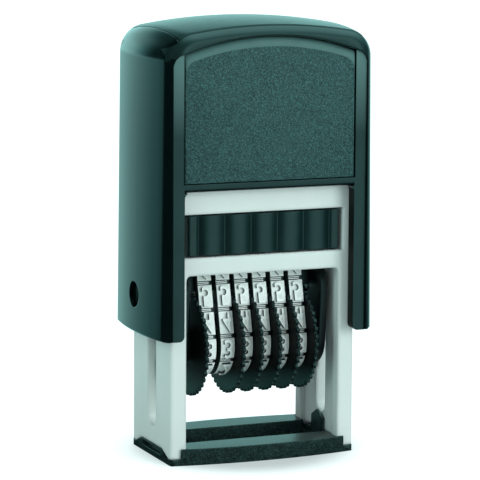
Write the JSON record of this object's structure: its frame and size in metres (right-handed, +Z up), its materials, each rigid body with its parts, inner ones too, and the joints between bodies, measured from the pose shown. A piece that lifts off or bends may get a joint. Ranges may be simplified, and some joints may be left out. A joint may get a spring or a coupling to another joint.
{
  "type": "self-inking numbering machine",
  "caption": "Pocket self-inking numbering machine: rubber number bands set by thumb wheels, an ink cassette, and a sprung cap that turns the print head over onto the paper.",
  "frame": {"origin": "middle of the foot, on the surface that the machine stands on", "axes": "+Z up along the press stroke, +X to the right across the bands, -Y to the front, where the figures are read"},
  "size_m": [0.0412, 0.026, 0.0768],
  "materials": {
    "frame_plastic": "moulded ABS, pale mint grey, satin",
    "cap_plastic": "moulded ABS, very dark teal black, glossy",
    "cover_plastic": "moulded ABS, dark teal black, polished",
    "panel_plastic": "moulded ABS with a fine spark-eroded grain, dark teal",
    "foot_plastic": "moulded ABS, black, lightly grained",
    "cassette_plastic": "moulded polypropylene, black, satin",
    "ink_felt": "ink-soaked felt",
    "carrier_plastic": "moulded acetal, black, satin",
    "wheel_plastic": "moulded acetal, black, toothed rim",
    "band_rubber": "moulded rubber, pale grey, raised figures",
    "spring_steel": "drawn spring wire, bright",
    "shaft_steel": "ground steel rod"
  },
  "bodies": {
    "frame": {"stand_frame": "frame_plastic", "base_foot": "foot_plastic", "return_spring": "spring_steel"},
    "cassette": {"pad_cassette": "cassette_plastic", "ink_pad": "ink_felt"},
    "cap": {"cap_shell": "cap_plastic", "top_cover": "cover_plastic", "front_panel": "panel_plastic", "rear_panel": "panel_plastic", "right_pivot_pin": "carrier_plastic", "left_pivot_pin": "carrier_plastic"},
    "carrier": {"right_cheek": "carrier_plastic", "left_cheek": "carrier_plastic", "band_bridge": "carrier_plastic", "setting_shaft": "shaft_steel", "band_spacer": "carrier_plastic", "number_band_1": "band_rubber", "number_band_2": "band_rubber", "number_band_3": "band_rubber", "number_band_4": "band_rubber", "number_band_5": "band_rubber", "number_band_6": "band_rubber"},
    "wheel_1": {"thumb_wheel_1": "wheel_plastic"},
    "wheel_2": {"thumb_wheel_2": "wheel_plastic"},
    "wheel_3": {"thumb_wheel_3": "wheel_plastic"},
    "wheel_4": {"thumb_wheel_4": "wheel_plastic"},
    "wheel_5": {"thumb_wheel_5": "wheel_plastic"},
    "wheel_6": {"thumb_wheel_6": "wheel_plastic"}
  },
  "joints": [
    {"name": "cap_press", "type": "slide", "parent": "frame", "child": "cap", "axis": [0, 0, -1], "range_m": [0, 0.0216], "stiffness_N_per_m": 300, "springref_m": -0.01, "deforming": ["return_spring"]},
    {"name": "carrier_turn", "type": "hinge", "parent": "cap", "child": "carrier", "pos_m": [0, 0, 0.0289], "axis": [1, 0, 0], "range_deg": [0, 180]},
    {"name": "cassette_pull", "type": "slide", "parent": "frame", "child": "cassette", "axis": [0, -1, 0], "range_m": [0, 0.028]},
    {"name": "wheel_1_turn", "type": "hinge", "parent": "carrier", "child": "wheel_1", "pos_m": [0, 0, 0.0195], "axis": [1, 0, 0], "continuous": true},
    {"name": "wheel_2_turn", "type": "hinge", "parent": "carrier", "child": "wheel_2", "pos_m": [0, 0, 0.0195], "axis": [1, 0, 0], "continuous": true},
    {"name": "wheel_3_turn", "type": "hinge", "parent": "carrier", "child": "wheel_3", "pos_m": [0, 0, 0.0195], "axis": [1, 0, 0], "continuous": true},
    {"name": "wheel_4_turn", "type": "hinge", "parent": "carrier", "child": "wheel_4", "pos_m": [0, 0, 0.0195], "axis": [1, 0, 0], "continuous": true},
    {"name": "wheel_5_turn", "type": "hinge", "parent": "carrier", "child": "wheel_5", "pos_m": [0, 0, 0.0195], "axis": [1, 0, 0], "continuous": true},
    {"name": "wheel_6_turn", "type": "hinge", "parent": "carrier", "child": "wheel_6", "pos_m": [0, 0, 0.0195], "axis": [1, 0, 0], "continuous": true}
  ],
  "couplings": [
    {"joint": "carrier_turn", "follows": "cap_press", "rad_per_m": 145.44}
  ]
}
